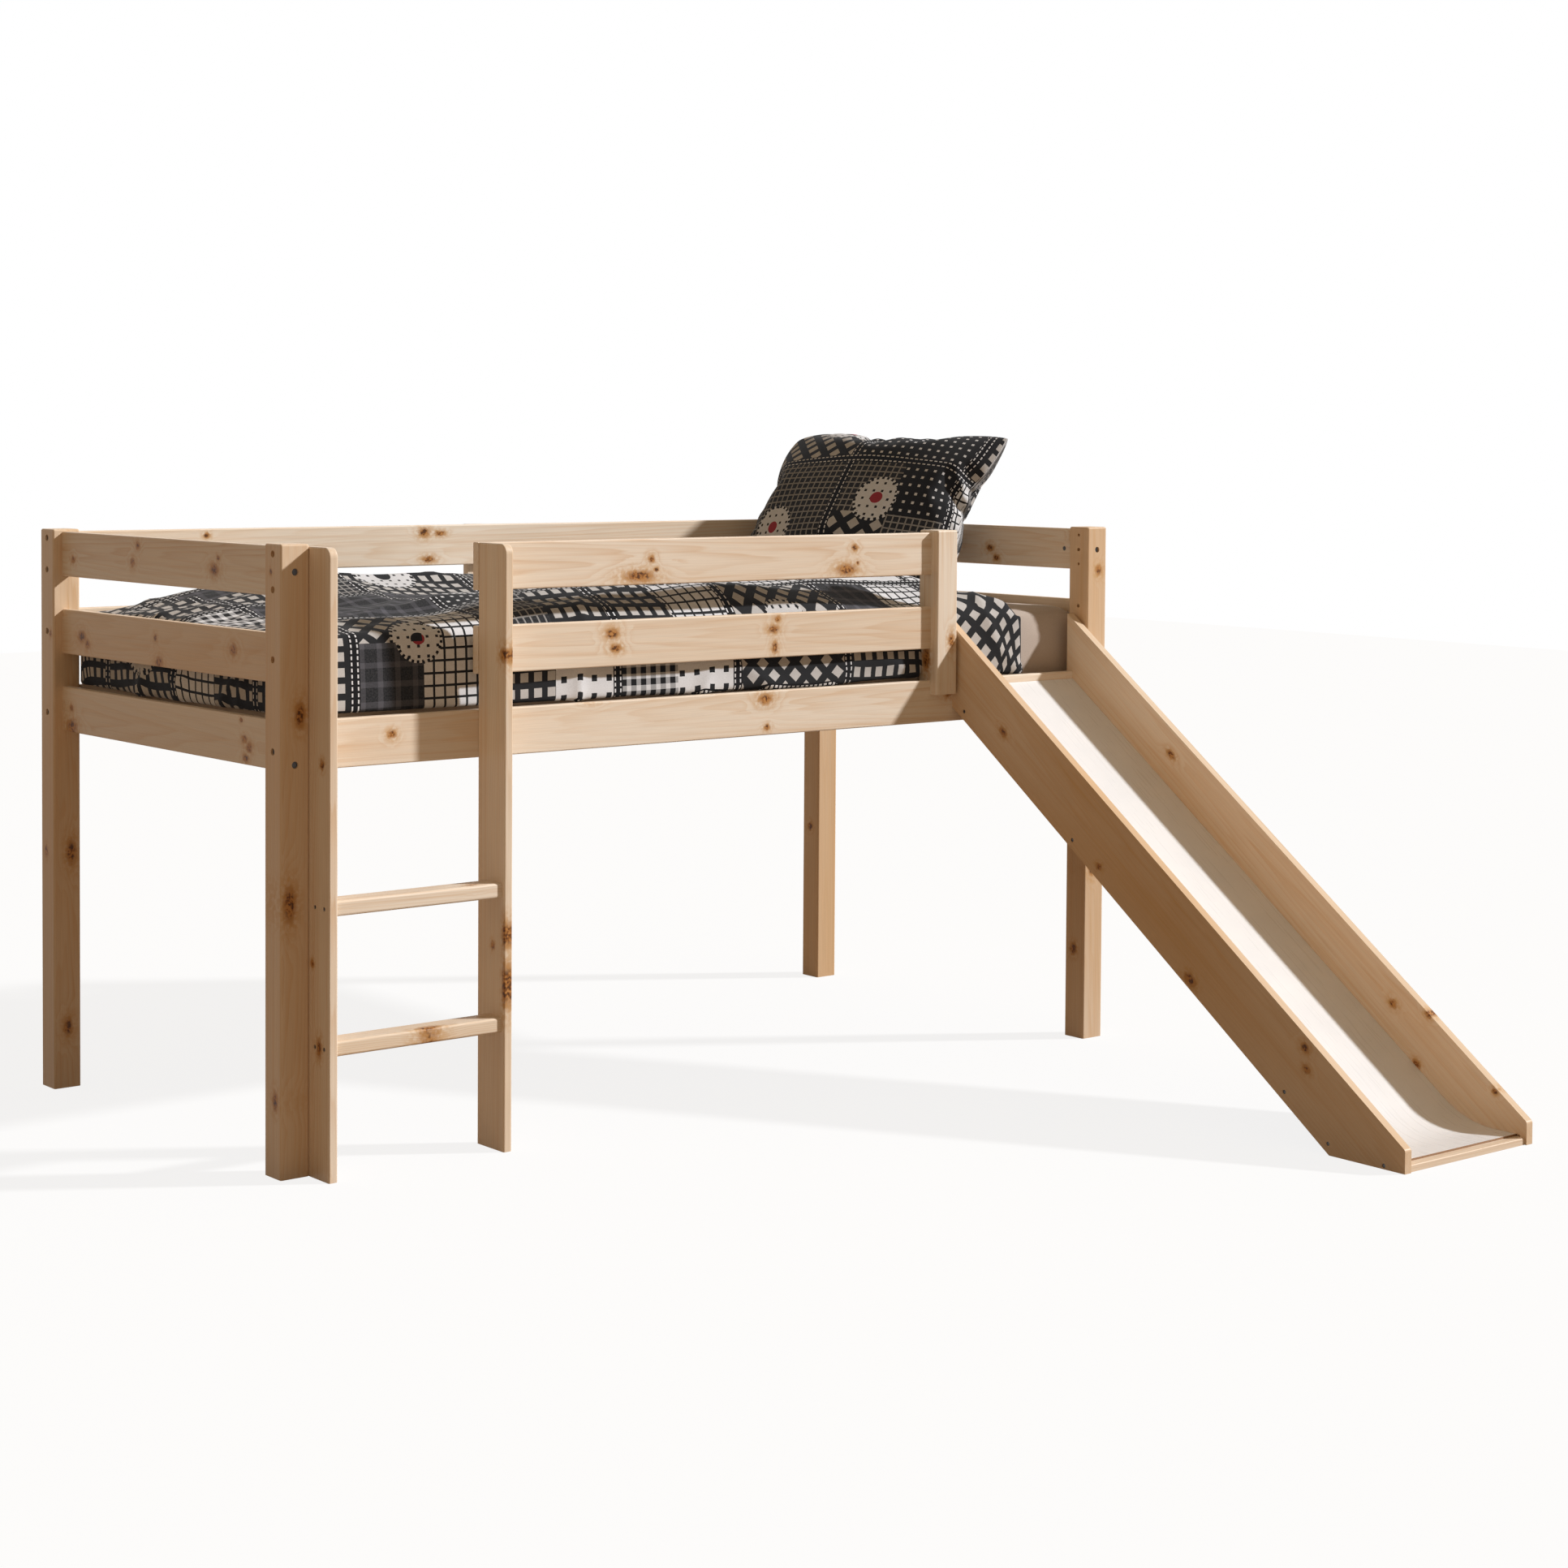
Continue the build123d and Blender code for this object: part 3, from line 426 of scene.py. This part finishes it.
def swollen(piece, frames, cap, pressure=4.0, weight=1.0, **settings):
    """Blows the piece up as cloth with its filling's pressure, and moves each point at most cap."""
    cloth = piece.modifiers.new("cloth", "CLOTH")
    cloth.settings.use_pressure = True
    cloth.settings.uniform_pressure_force = pressure
    cloth.settings.effector_weights.gravity = 0.0
    cloth.point_cache.frame_end = frames
    for name, value in settings.items():
        setattr(cloth.settings, name, value)
    scene = bpy.context.scene
    for number in range(1, frames + 1):
        scene.frame_set(number)
    moved = np.empty(len(piece.data.vertices) * 3)
    shown = piece.evaluated_get(bpy.context.evaluated_depsgraph_get())
    shown.data.vertices.foreach_get("co", moved)
    piece.modifiers.remove(cloth)
    scene.frame_set(1)
    start = points(piece)
    way = moved.reshape(-1, 3) - start
    length = np.linalg.norm(way, axis=1, keepdims=True)
    way *= np.minimum(1, cap / np.maximum(length, 1e-9))
    way *= np.reshape(weight, (-1, 1))
    move_points(piece, start + way)


def wrinkled(piece, layers, weight=1.0, creases=False):
    """Moves points along their normals by layers of noise, each (height, (length x, y, z)), in metres.

    As creases the noise makes narrow ridges where it would cross zero."""
    co, out = points(piece), normals(piece)
    lift = np.zeros(len(co))
    for height, lengths in layers:
        scale = 1 / np.array(lengths)
        wave = np.array([noise.noise(Vector(c * scale + 7.3)) for c in co])
        lift += height * (np.maximum(0, 1 - np.abs(wave) * 6) ** 2 if creases else wave)
    move_points(piece, co + out * (lift * weight)[:, None])


# Distance of the threads in millimetres, a little coarser than real so that the weave shows
THREAD = 0.9


def cotton(name, colour, sheen=0.15):
    """Woven cotton: matt, with a plain weave, a soft unevenness of tone and a faint bloom of loose fibres.

    Its colour is a hex value, or a function that draws a print."""
    material, tree, shader = new_material(
        name, Roughness=0.85, Specular_IOR_Level=0.15, Sheen_Weight=sheen, Sheen_Roughness=0.5
    )
    place = add(tree, "TexCoord", out=3)
    weave = add(tree, "TexNoise", {"Vector": place, "Scale": 1 / (THREAD * MM) / 2, "Detail": 1.0})
    cloud = add(tree, "TexNoise", {"Vector": place, "Scale": 6.0, "Detail": 3.0})
    tone = add(tree, "Math", (weave, cloud), operation="ADD")
    tone = add(tree, "MapRange", (tone, 0.7, 1.3, 0.9, 1.08))
    dye = linear(colour)[:3] if isinstance(colour, str) else colour(tree)
    dyed = add(tree, "VectorMath", {0: dye, "Scale": tone}, operation="SCALE")
    tree.links.new(dyed, shader.inputs["Base Color"])
    bump = add(tree, "Bump", {"Height": weave, "Strength": 0.3, "Distance": 0.4 * MM})
    tree.links.new(bump, shader.inputs["Normal"])
    return material


mattress = remeshed("mattress", "mattress_in_fitted_sheet", voxel=0.01)
swollen(mattress, frames=12, cap=0.004)
wrinkled(mattress, [(0.0025, (0.3, 0.25, 0.1)), (0.0012, (0.08, 0.05, 0.05))])
# The sheet pulls the corners nearly square
CORNER = 0.05
SQUARENESS = 0.75
low, high = (np.array(v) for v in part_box("mattress"))
co = points(mattress)
inner = np.clip(co[:, :2], low[:2] + CORNER, high[:2] - CORNER)
way = co[:, :2] - inner
longest = np.maximum(np.abs(way).max(axis=1, keepdims=True), 1e-9)
square = np.linalg.norm(way, axis=1, keepdims=True) / longest
co[:, :2] = inner + way * np.where(longest > 1e-6, 1 + SQUARENESS * (square - 1), 1)
# The sides stand out a little between the seams at the bottom and the top
SEAM_HEIGHT, SEAM_DEPTH = 0.02, 0.035
SIDE, SIDE_BULGE = 0.04, 0.003
beside = (co[:, 2] > low[2] + SEAM_HEIGHT) & (co[:, 2] < high[2] - SEAM_DEPTH)
co[beside, :2] += np.sign(way[beside]) * (np.abs(way[beside]) > SIDE) * SIDE_BULGE
move_points(mattress, np.clip(co, low, high))
run(bpy.ops.object.shade_smooth, mattress)
mattress.data.materials.append(cotton("taupe_cotton_sheet", "#bdb0a6"))
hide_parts("mattress")
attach(mattress, "root")


# Duvet
# A quilt in a printed cotton cover, laid over the mattress and tucked down inside the boards. It lies in
# broad soft waves, rounds over at its edges and falls away at the slide end.


def outer_side(piece):
    """0 at the duvet's points that lie within 3 mm of the mattress, and 1 at those over 11 mm off it."""
    low, high = (np.array(v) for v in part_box("mattress"))
    co = points(piece)
    off = np.maximum(np.maximum(low - co, co - high), 0).max(axis=1)
    return np.clip((off - 0.003) / 0.008, 0, 1)


def lay_print(piece, u, v):
    """Gives a piece its own print coordinates, in metres of flat cloth."""
    layer = piece.data.uv_layers.new(name="print")
    corner = np.empty(len(piece.data.loops), int)
    piece.data.loops.foreach_get("vertex_index", corner)
    layer.data.foreach_set("uv", np.column_stack((u[corner], v[corner])).ravel())


duvet = remeshed("duvet", "duvet_in_printed_cover", voxel=0.0145)
outer = outer_side(duvet)
top = np.clip((points(duvet)[:, 2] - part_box("mattress")[1].z - 0.005) / 0.03, 0, 1)
# It swells and waves most on top, and its sides are held by the boards
swollen(duvet, frames=16, cap=0.012, weight=outer * (0.25 + 0.75 * top))
# Its top settles, and sinks further over its last 420 mm at the ladder end
SETTLES, SINKS = 0.006, 0.022
co = points(duvet)
sunk = np.clip((bed.x + 0.42 - co[:, 0]) / 0.36, 0, 1) ** 2 * SINKS + SETTLES
co[:, 2] -= sunk * outer * top
# Its corner bulges towards the rear left post
CORNER_BULGE = 0.0045
way = co[:, :2] - np.array((bed.x + 0.105, bed.y + 0.871))
corner = (way[:, 0] < 0) & (way[:, 1] > 0) & (outer > 0)
co[corner, :2] += CORNER_BULGE * way[corner] / np.linalg.norm(way[corner], axis=1, keepdims=True)
move_points(duvet, co)
waves = [(0.03, (0.42, 0.3, 0.3)), (0.022, (0.5, 0.12, 0.14)), (0.01, (0.17, 0.06, 0.08))]
wrinkled(duvet, waves, outer * (0.2 + 0.8 * top))
applied(duvet, "SUBSURF", levels=1, render_levels=1)
wrinkled(duvet, [(0.007, (0.9, 0.3, 0.3)), (0.005, (0.3, 0.22, 0.3))], outer_side(duvet), creases=True)
run(bpy.ops.object.shade_smooth, duvet)

# The cloth is unrolled outwards where it goes over the edges, which turn within this distance and height
TURN, TURN_HEIGHT = 0.08, 0.05
PRINT_START = (2.664, 5.032)
co = points(duvet)
low, high = (np.array(v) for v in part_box("duvet"))
inner = np.clip(co[:, :2], low[:2] + TURN, high[:2] - TURN)
way = co[:, :2] - inner
way /= np.maximum(np.linalg.norm(way, axis=1, keepdims=True), 1e-6)
drop = np.maximum(high[2] - TURN_HEIGHT - co[:, 2], 0)
lay_print(duvet, *(co[:, i] + way[:, i] * drop + PRINT_START[i] for i in (0, 1)))

# Millimetres of flat cloth: the patchwork's blocks, the round patches' middle, beads and whole radius, and
# along the blocks' edges the dark tape, the row of stitches on it and the distance of the stitches
BLOCK = 296.0
MIDDLE, BEADS, ROUND = 14.0, 47.0, 53.0
TAPE, ROW, STITCH = 11.0, (5.0, 8.2), 12.0
BEAD_COUNT = 26.0


def patchwork(tree):
    """Patchwork print: squares of gingham, plaid, checks, diamonds and denim, with stitched edges and round
    dotted patches. Returns its colour."""
    put = partial(add, tree)
    place = put("UVMap", uv_map="print")
    place = put("VectorMath", {0: place, "Scale": 1 / MM}, operation="SCALE")
    ink, coal, smoke, chalk, cream, red = (
        linear(c) for c in ("#151518", "#232427", "#5d5d64", "#dcdee3", "#bebcbb", "#a03c48")
    )

    def cells(vector, size):
        """Numbers of the cells of a square grid, and places inside them from 0 to 1."""
        scaled = put("VectorMath", {0: vector, "Scale": 1 / size}, operation="SCALE")
        return [put("VectorMath", (scaled,), operation=part) for part in ("FLOOR", "FRACTION")]

    def bands(vector, size, width, joined):
        """Bands both ways on a square grid, of a width given as a share of it, joined by a Math operation."""
        inside = cells(vector, size)[1]
        ways = [put("SeparateXYZ", (inside,), out=i) for i in (0, 1)]
        ways = [put("Math", (way, width), operation="LESS_THAN") for way in ways]
        return put("Math", ways, operation=joined)

    # Some of the blocks are cut in four. Each block or quarter picks its cloth by a number from 0 to 1
    block, inside = cells(place, BLOCK)
    first = put("TexWhiteNoise", {"Vector": block}, out=1, noise_dimensions="2D")
    pick, cut, pale = (put("SeparateXYZ", (first,), out=i) for i in (0, 1, 2))
    quarter = put("TexWhiteNoise", {"Vector": cells(place, BLOCK / 2)[0]}, noise_dimensions="2D")
    cut = put("Math", (cut, 0.5), operation="GREATER_THAN")
    pick = put("Mix", {0: cut, 2: pick, 3: quarter}, data_type="FLOAT")

    # The cloths, each from its number up: its ground, its second colour, how strong that is, and its bands,
    # which make small squares, window checks, diamonds, gingham, fine checks, tattersall, plaid and pips
    weave = put("TexNoise", {"Vector": place, "Scale": 0.3, "Detail": 3.0})
    denim = put("ValToRGB", (weave,), stops=[(0.35, "#1d1e21"), (0.7, "#3b3c3f")])
    slant = put("Mapping", {0: place, "Rotation": (0, 0, math.radians(45))})
    colour = chalk
    for number, ground, second, strength, pattern in (
        (0.0, chalk, coal, 1.0, (place, 36.0, 0.36, "MULTIPLY")),
        (0.08, coal, cream, 1.0, (place, 31.0, 0.58, "MULTIPLY")),
        (0.32, coal, cream, 1.0, (slant, 40.0, 0.56, "MULTIPLY")),
        (0.44, chalk, ink, 0.5, (place, 24.0, 0.55, "ADD")),
        (0.56, denim, cream, 0.55, (place, 16.0, 0.22, "MAXIMUM")),
        (0.66, chalk, coal, 1.0, (place, 24.0, 0.2, "MAXIMUM")),
        (0.76, denim, smoke, 0.45, (place, 38.0, 0.3, "ADD")),
        (0.9, coal, chalk, 1.0, (place, 22.0, 0.3, "MULTIPLY")),
    ):
        shown = put("Math", (bands(*pattern), strength), operation="MULTIPLY")
        cloth = put("Mix", {0: shown, 6: ground, 7: second}, **COLOURS)
        picked = put("Math", (pick, number), operation="GREATER_THAN")
        colour = put("Mix", {0: picked, 6: colour, 7: cloth}, **COLOURS)

    # Round patches on some blocks, with a beaded edge, dots, and a red or dark middle
    middle = put("VectorMath", (first, (0.34, 0.34, 0), (0.33, 0.33, 0)), operation="MULTIPLY_ADD")
    away = put("VectorMath", (inside, middle), operation="SUBTRACT")
    growth = put("MapRange", (pick, 0.0, 1.0, 210.0, 330.0))
    away = put("VectorMath", {0: away, "Scale": growth}, operation="SCALE")
    reach = put("VectorMath", (away,), out=1, operation="LENGTH")
    x, y = (put("SeparateXYZ", (away,), out=i) for i in (0, 1))
    angle = put("Math", (y, x), operation="ARCTAN2")
    angle = put("Math", (angle, BEAD_COUNT), operation="MULTIPLY")
    bead = put("Math", (put("Math", (angle,), operation="SINE"), 0.0), operation="GREATER_THAN")
    edge = put("Math", (reach, BEADS), operation="GREATER_THAN")
    bead = put("Math", (edge, bead), operation="MULTIPLY")
    dots = bands(place, 21.0, 0.3, "MULTIPLY")
    heart = put("Math", (reach, MIDDLE), operation="LESS_THAN")
    dark_or_red = put("Math", (pick, 0.5), operation="GREATER_THAN")
    dark_or_red = put("Mix", {0: dark_or_red, 6: coal, 7: red}, **COLOURS)
    disc = put("Mix", {0: pale, 6: cream, 7: chalk}, **COLOURS)
    for share, over in ((dots, coal), (heart, dark_or_red), (bead, ink)):
        disc = put("Mix", {0: share, 6: disc, 7: over}, **COLOURS)
    wanted = put("Math", (pale, 0.4), operation="GREATER_THAN")
    within = put("Math", (reach, ROUND), operation="LESS_THAN")
    wanted = put("Math", (wanted, within), operation="MULTIPLY")
    colour = put("Mix", {0: wanted, 6: colour, 7: disc}, **COLOURS)

    # Double rows of white stitches on dark tape along the blocks' edges
    sides = [put("SeparateXYZ", (inside,), out=i) for i in (0, 1)]
    dashes = cells(place, STITCH)[1]
    for side, i in zip(sides, (1, 0)):
        side = put("Math", (side, 0.5), operation="PINGPONG")
        side = put("Math", (side, BLOCK), operation="MULTIPLY")
        beyond = put("Math", (side, ROW[0]), operation="GREATER_THAN")
        row = put("Math", (side, ROW[1]), operation="LESS_THAN")
        row = put("Math", (beyond, row), operation="MULTIPLY")
        dash = put("Math", (put("SeparateXYZ", (dashes,), out=i), 0.6), operation="LESS_THAN")
        stitch = put("Math", (row, dash), operation="MULTIPLY")
        tape = put("Math", (side, TAPE), operation="LESS_THAN")
        for share, over in ((tape, ink), (stitch, chalk)):
            colour = put("Mix", {0: share, 6: colour, 7: over}, **COLOURS)
    return colour


printed = cotton("printed_cotton", patchwork, sheen=0.04)
duvet.data.materials.append(printed)
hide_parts("duvet")
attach(duvet, "root")


# Pillow
# A soft pillow in a case of the same cloth, sewn from two rectangles and stuffed, so that its corners stay
# pointed and its edges pull in. It stands on the duvet and leans on the upper board of the slide end.

PILLOW_SIZE = np.array((0.632, 0.438, 0.187))
# Two flat sheets are cut with bowed edges, and their corners are cut back by different shares. They start a
# little apart, and share the points of their seam
CUT = (0.62, 0.46)
BOW = (0.05, 0.125)
CUT_BACK = {(-1, -1): 0.05, (-1, 1): 0.01, (1, -1): 0.06, (1, 1): 0.06}
APART, PUFF = 0.002, 0.03
COLUMNS, ROWS = 84, 62
# Where each sheet starts on the printed cloth
SHEET_START = {1: (2.05, 0.5), -1: (2.05, 1.4)}

spots, faces, cloth_places = [], [], []
index = {}
for side in (1, -1):
    for j in range(ROWS + 1):
        for i in range(COLUMNS + 1):
            on_seam = i in (0, COLUMNS) or j in (0, ROWS)
            if side < 0 and on_seam:
                index[side, i, j] = index[1, i, j]
                continue
            index[side, i, j] = len(spots)
            u, v = 2 * i / COLUMNS - 1, 2 * j / ROWS - 1
            pull = 1 - CUT_BACK[(1 if u > 0 else -1), (1 if v > 0 else -1)] * abs(u * v) ** 5
            x = CUT[0] / 2 * u * (1 + BOW[0] * (1 - v * v)) * pull
            y = CUT[1] / 2 * v * (1 + BOW[1] * (1 - u * u)) * pull
            lift = 0 if on_seam else PUFF * math.sqrt((1 - u * u) * (1 - v * v)) + APART
            spots.append((x, y, side * lift))
            cloth_places.append((x + SHEET_START[side][0], y + SHEET_START[side][1]))
    for j in range(ROWS):
        for i in range(COLUMNS):
            corners = [index[side, i + a, j + b] for a, b in ((0, 0), (1, 0), (1, 1), (0, 1))]
            faces.append(corners if side > 0 else corners[::-1])
mesh = bpy.data.meshes.new("pillow_in_printed_case")
mesh.from_pydata(spots, [], faces)
pillow = bpy.data.objects.new("pillow_in_printed_case", mesh)
bpy.context.scene.collection.objects.link(pillow)
lay_print(pillow, *np.array(cloth_places).T)
swollen(pillow, frames=25, cap=1.0, pressure=3.0, quality=6)
applied(pillow, "SMOOTH", factor=0.5, iterations=5)
co = points(pillow)
size = co.max(0) - co.min(0)
co = (co - (co.max(0) + co.min(0)) / 2) * (PILLOW_SIZE / size)

# It stands on the middle of its long edge, leaning back and turned a little towards the slide
co[:, 1] += PILLOW_SIZE[1] / 2
lean, turned = math.radians(36.8), math.radians(11.5)
along = Vector((-math.sin(turned), math.cos(turned), 0))
back = Vector((math.cos(turned) * math.cos(lean), math.sin(turned) * math.cos(lean), -math.sin(lean)))
up = back.cross(along)
foot = bed + Vector((1803.1, 607.3, 991.3)) * MM
co = np.array(foot) + co @ np.array((along, up, back))

# It is pressed in where it lies on the duvet, against the end board and off the rear board
CLEAR = 0.001
board = np.array(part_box("right_end_guard_upper")[0])
rear = np.array(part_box("rear_guard_upper")[0])
below = co[:, 2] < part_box("rear_guard_upper")[1].z
co[below, 0] = np.minimum(co[below, 0], board[0] - CLEAR)
co[below, 1] = np.minimum(co[below, 1], rear[1] - CLEAR)
heap = BVHTree.FromObject(duvet, bpy.context.evaluated_depsgraph_get())
for k, spot in enumerate(co):
    hit = heap.ray_cast(Vector((spot[0], spot[1], bed.z + 1.5)), Vector((0, 0, -1)))[0]
    if hit is not None and hit.z < spot[2] + 0.3:
        co[k, 2] = max(spot[2], hit.z + CLEAR)
move_points(pillow, co)
applied(pillow, "SUBSURF", levels=1, render_levels=1)
run(bpy.ops.object.shade_smooth, pillow)
pillow.data.materials.append(printed)
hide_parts("pillow")
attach(pillow, "root")


# Studio: floor, daylight and camera
# A pale floor and background that read as white to the camera. One low key light from the right of the camera
# and a weak even sky give the object its shape.

bpy.ops.object.select_all(action="DESELECT")
bpy.ops.mesh.primitive_plane_add(size=24, location=(0, 0, 0))
floor = bpy.context.object
floor.name = "studio_floor"
paper, tree, shader = new_material("pale_floor", Roughness=0.9, Specular_IOR_Level=0.0)


def seen_by_camera(tree):
    """1 for rays from the camera, straight or by way of gloss or glass."""
    path = add(tree, "LightPath").node.outputs
    seen = add(tree, "Math", (path["Is Camera Ray"], path["Is Glossy Ray"]), operation="MAXIMUM")
    return add(tree, "Math", (seen, path["Is Transmission Ray"]), operation="MAXIMUM")


seen = seen_by_camera(tree)
colour = add(tree, "Mix", {0: seen, 6: linear("#9a8570"), 7: linear("#fcfcfc")}, **COLOURS)
tree.links.new(colour, shader.inputs["Base Color"])
white = add(tree, "Emission", ((1, 1, 1, 1), 1.0))
# The rest of it is the floor's own surface, which keeps the shadows
seen = add(tree, "Math", (seen, 0.85), operation="MULTIPLY")
surface = add(tree, "MixShader", (seen, shader.outputs[0], white))
tree.links.new(surface, tree.nodes["Material Output"].inputs[0])
floor.data.materials.append(paper)

world = bpy.data.worlds.new("studio")
bpy.context.scene.world = world
world.use_nodes = True
tree = world.node_tree
sky = tree.nodes["Background"]
sky.inputs["Color"].default_value = linear("#ffdeb4")
sky.inputs["Strength"].default_value = 0.29
white = add(tree, "Background", ((1, 1, 1, 1), 1.0))
both = add(tree, "MixShader", (seen_by_camera(tree), sky.outputs[0], white))
tree.links.new(both, tree.nodes["World Output"].inputs[0])

key = bpy.data.lights.new("key", "SUN")
key.energy = 3.8
key.angle = math.radians(3.5)
key_light = bpy.data.objects.new("key", key)
bpy.context.scene.collection.objects.link(key_light)
key_light.rotation_euler = Vector((-1.55, 1.0, -1.1)).to_track_quat("-Z", "Y").to_euler()

# The camera is fitted to the corners of the posts, boards and slide: its place is in the bed's millimetres
lens = bpy.data.cameras.new("camera")
lens.sensor_width = 36.0
lens.lens = 66.68
lens.shift_x = 0.0178
lens.shift_y = -0.1518
camera = bpy.data.objects.new("camera", lens)
bpy.context.scene.collection.objects.link(camera)
stand = bed + Vector((-2578.65, -4535.10, 1338.54)) * MM
right = Vector((0.77811774, -0.62808628, 0.00635672))
ahead = Vector((0.62783265, 0.77741861, -0.03803255))
axes = Matrix((right, right.cross(ahead), -ahead)).transposed()
camera.matrix_world = Matrix.Translation(stand) @ axes.to_4x4()
bpy.context.scene.camera = camera
bpy.context.scene.view_settings.view_transform = "Standard"
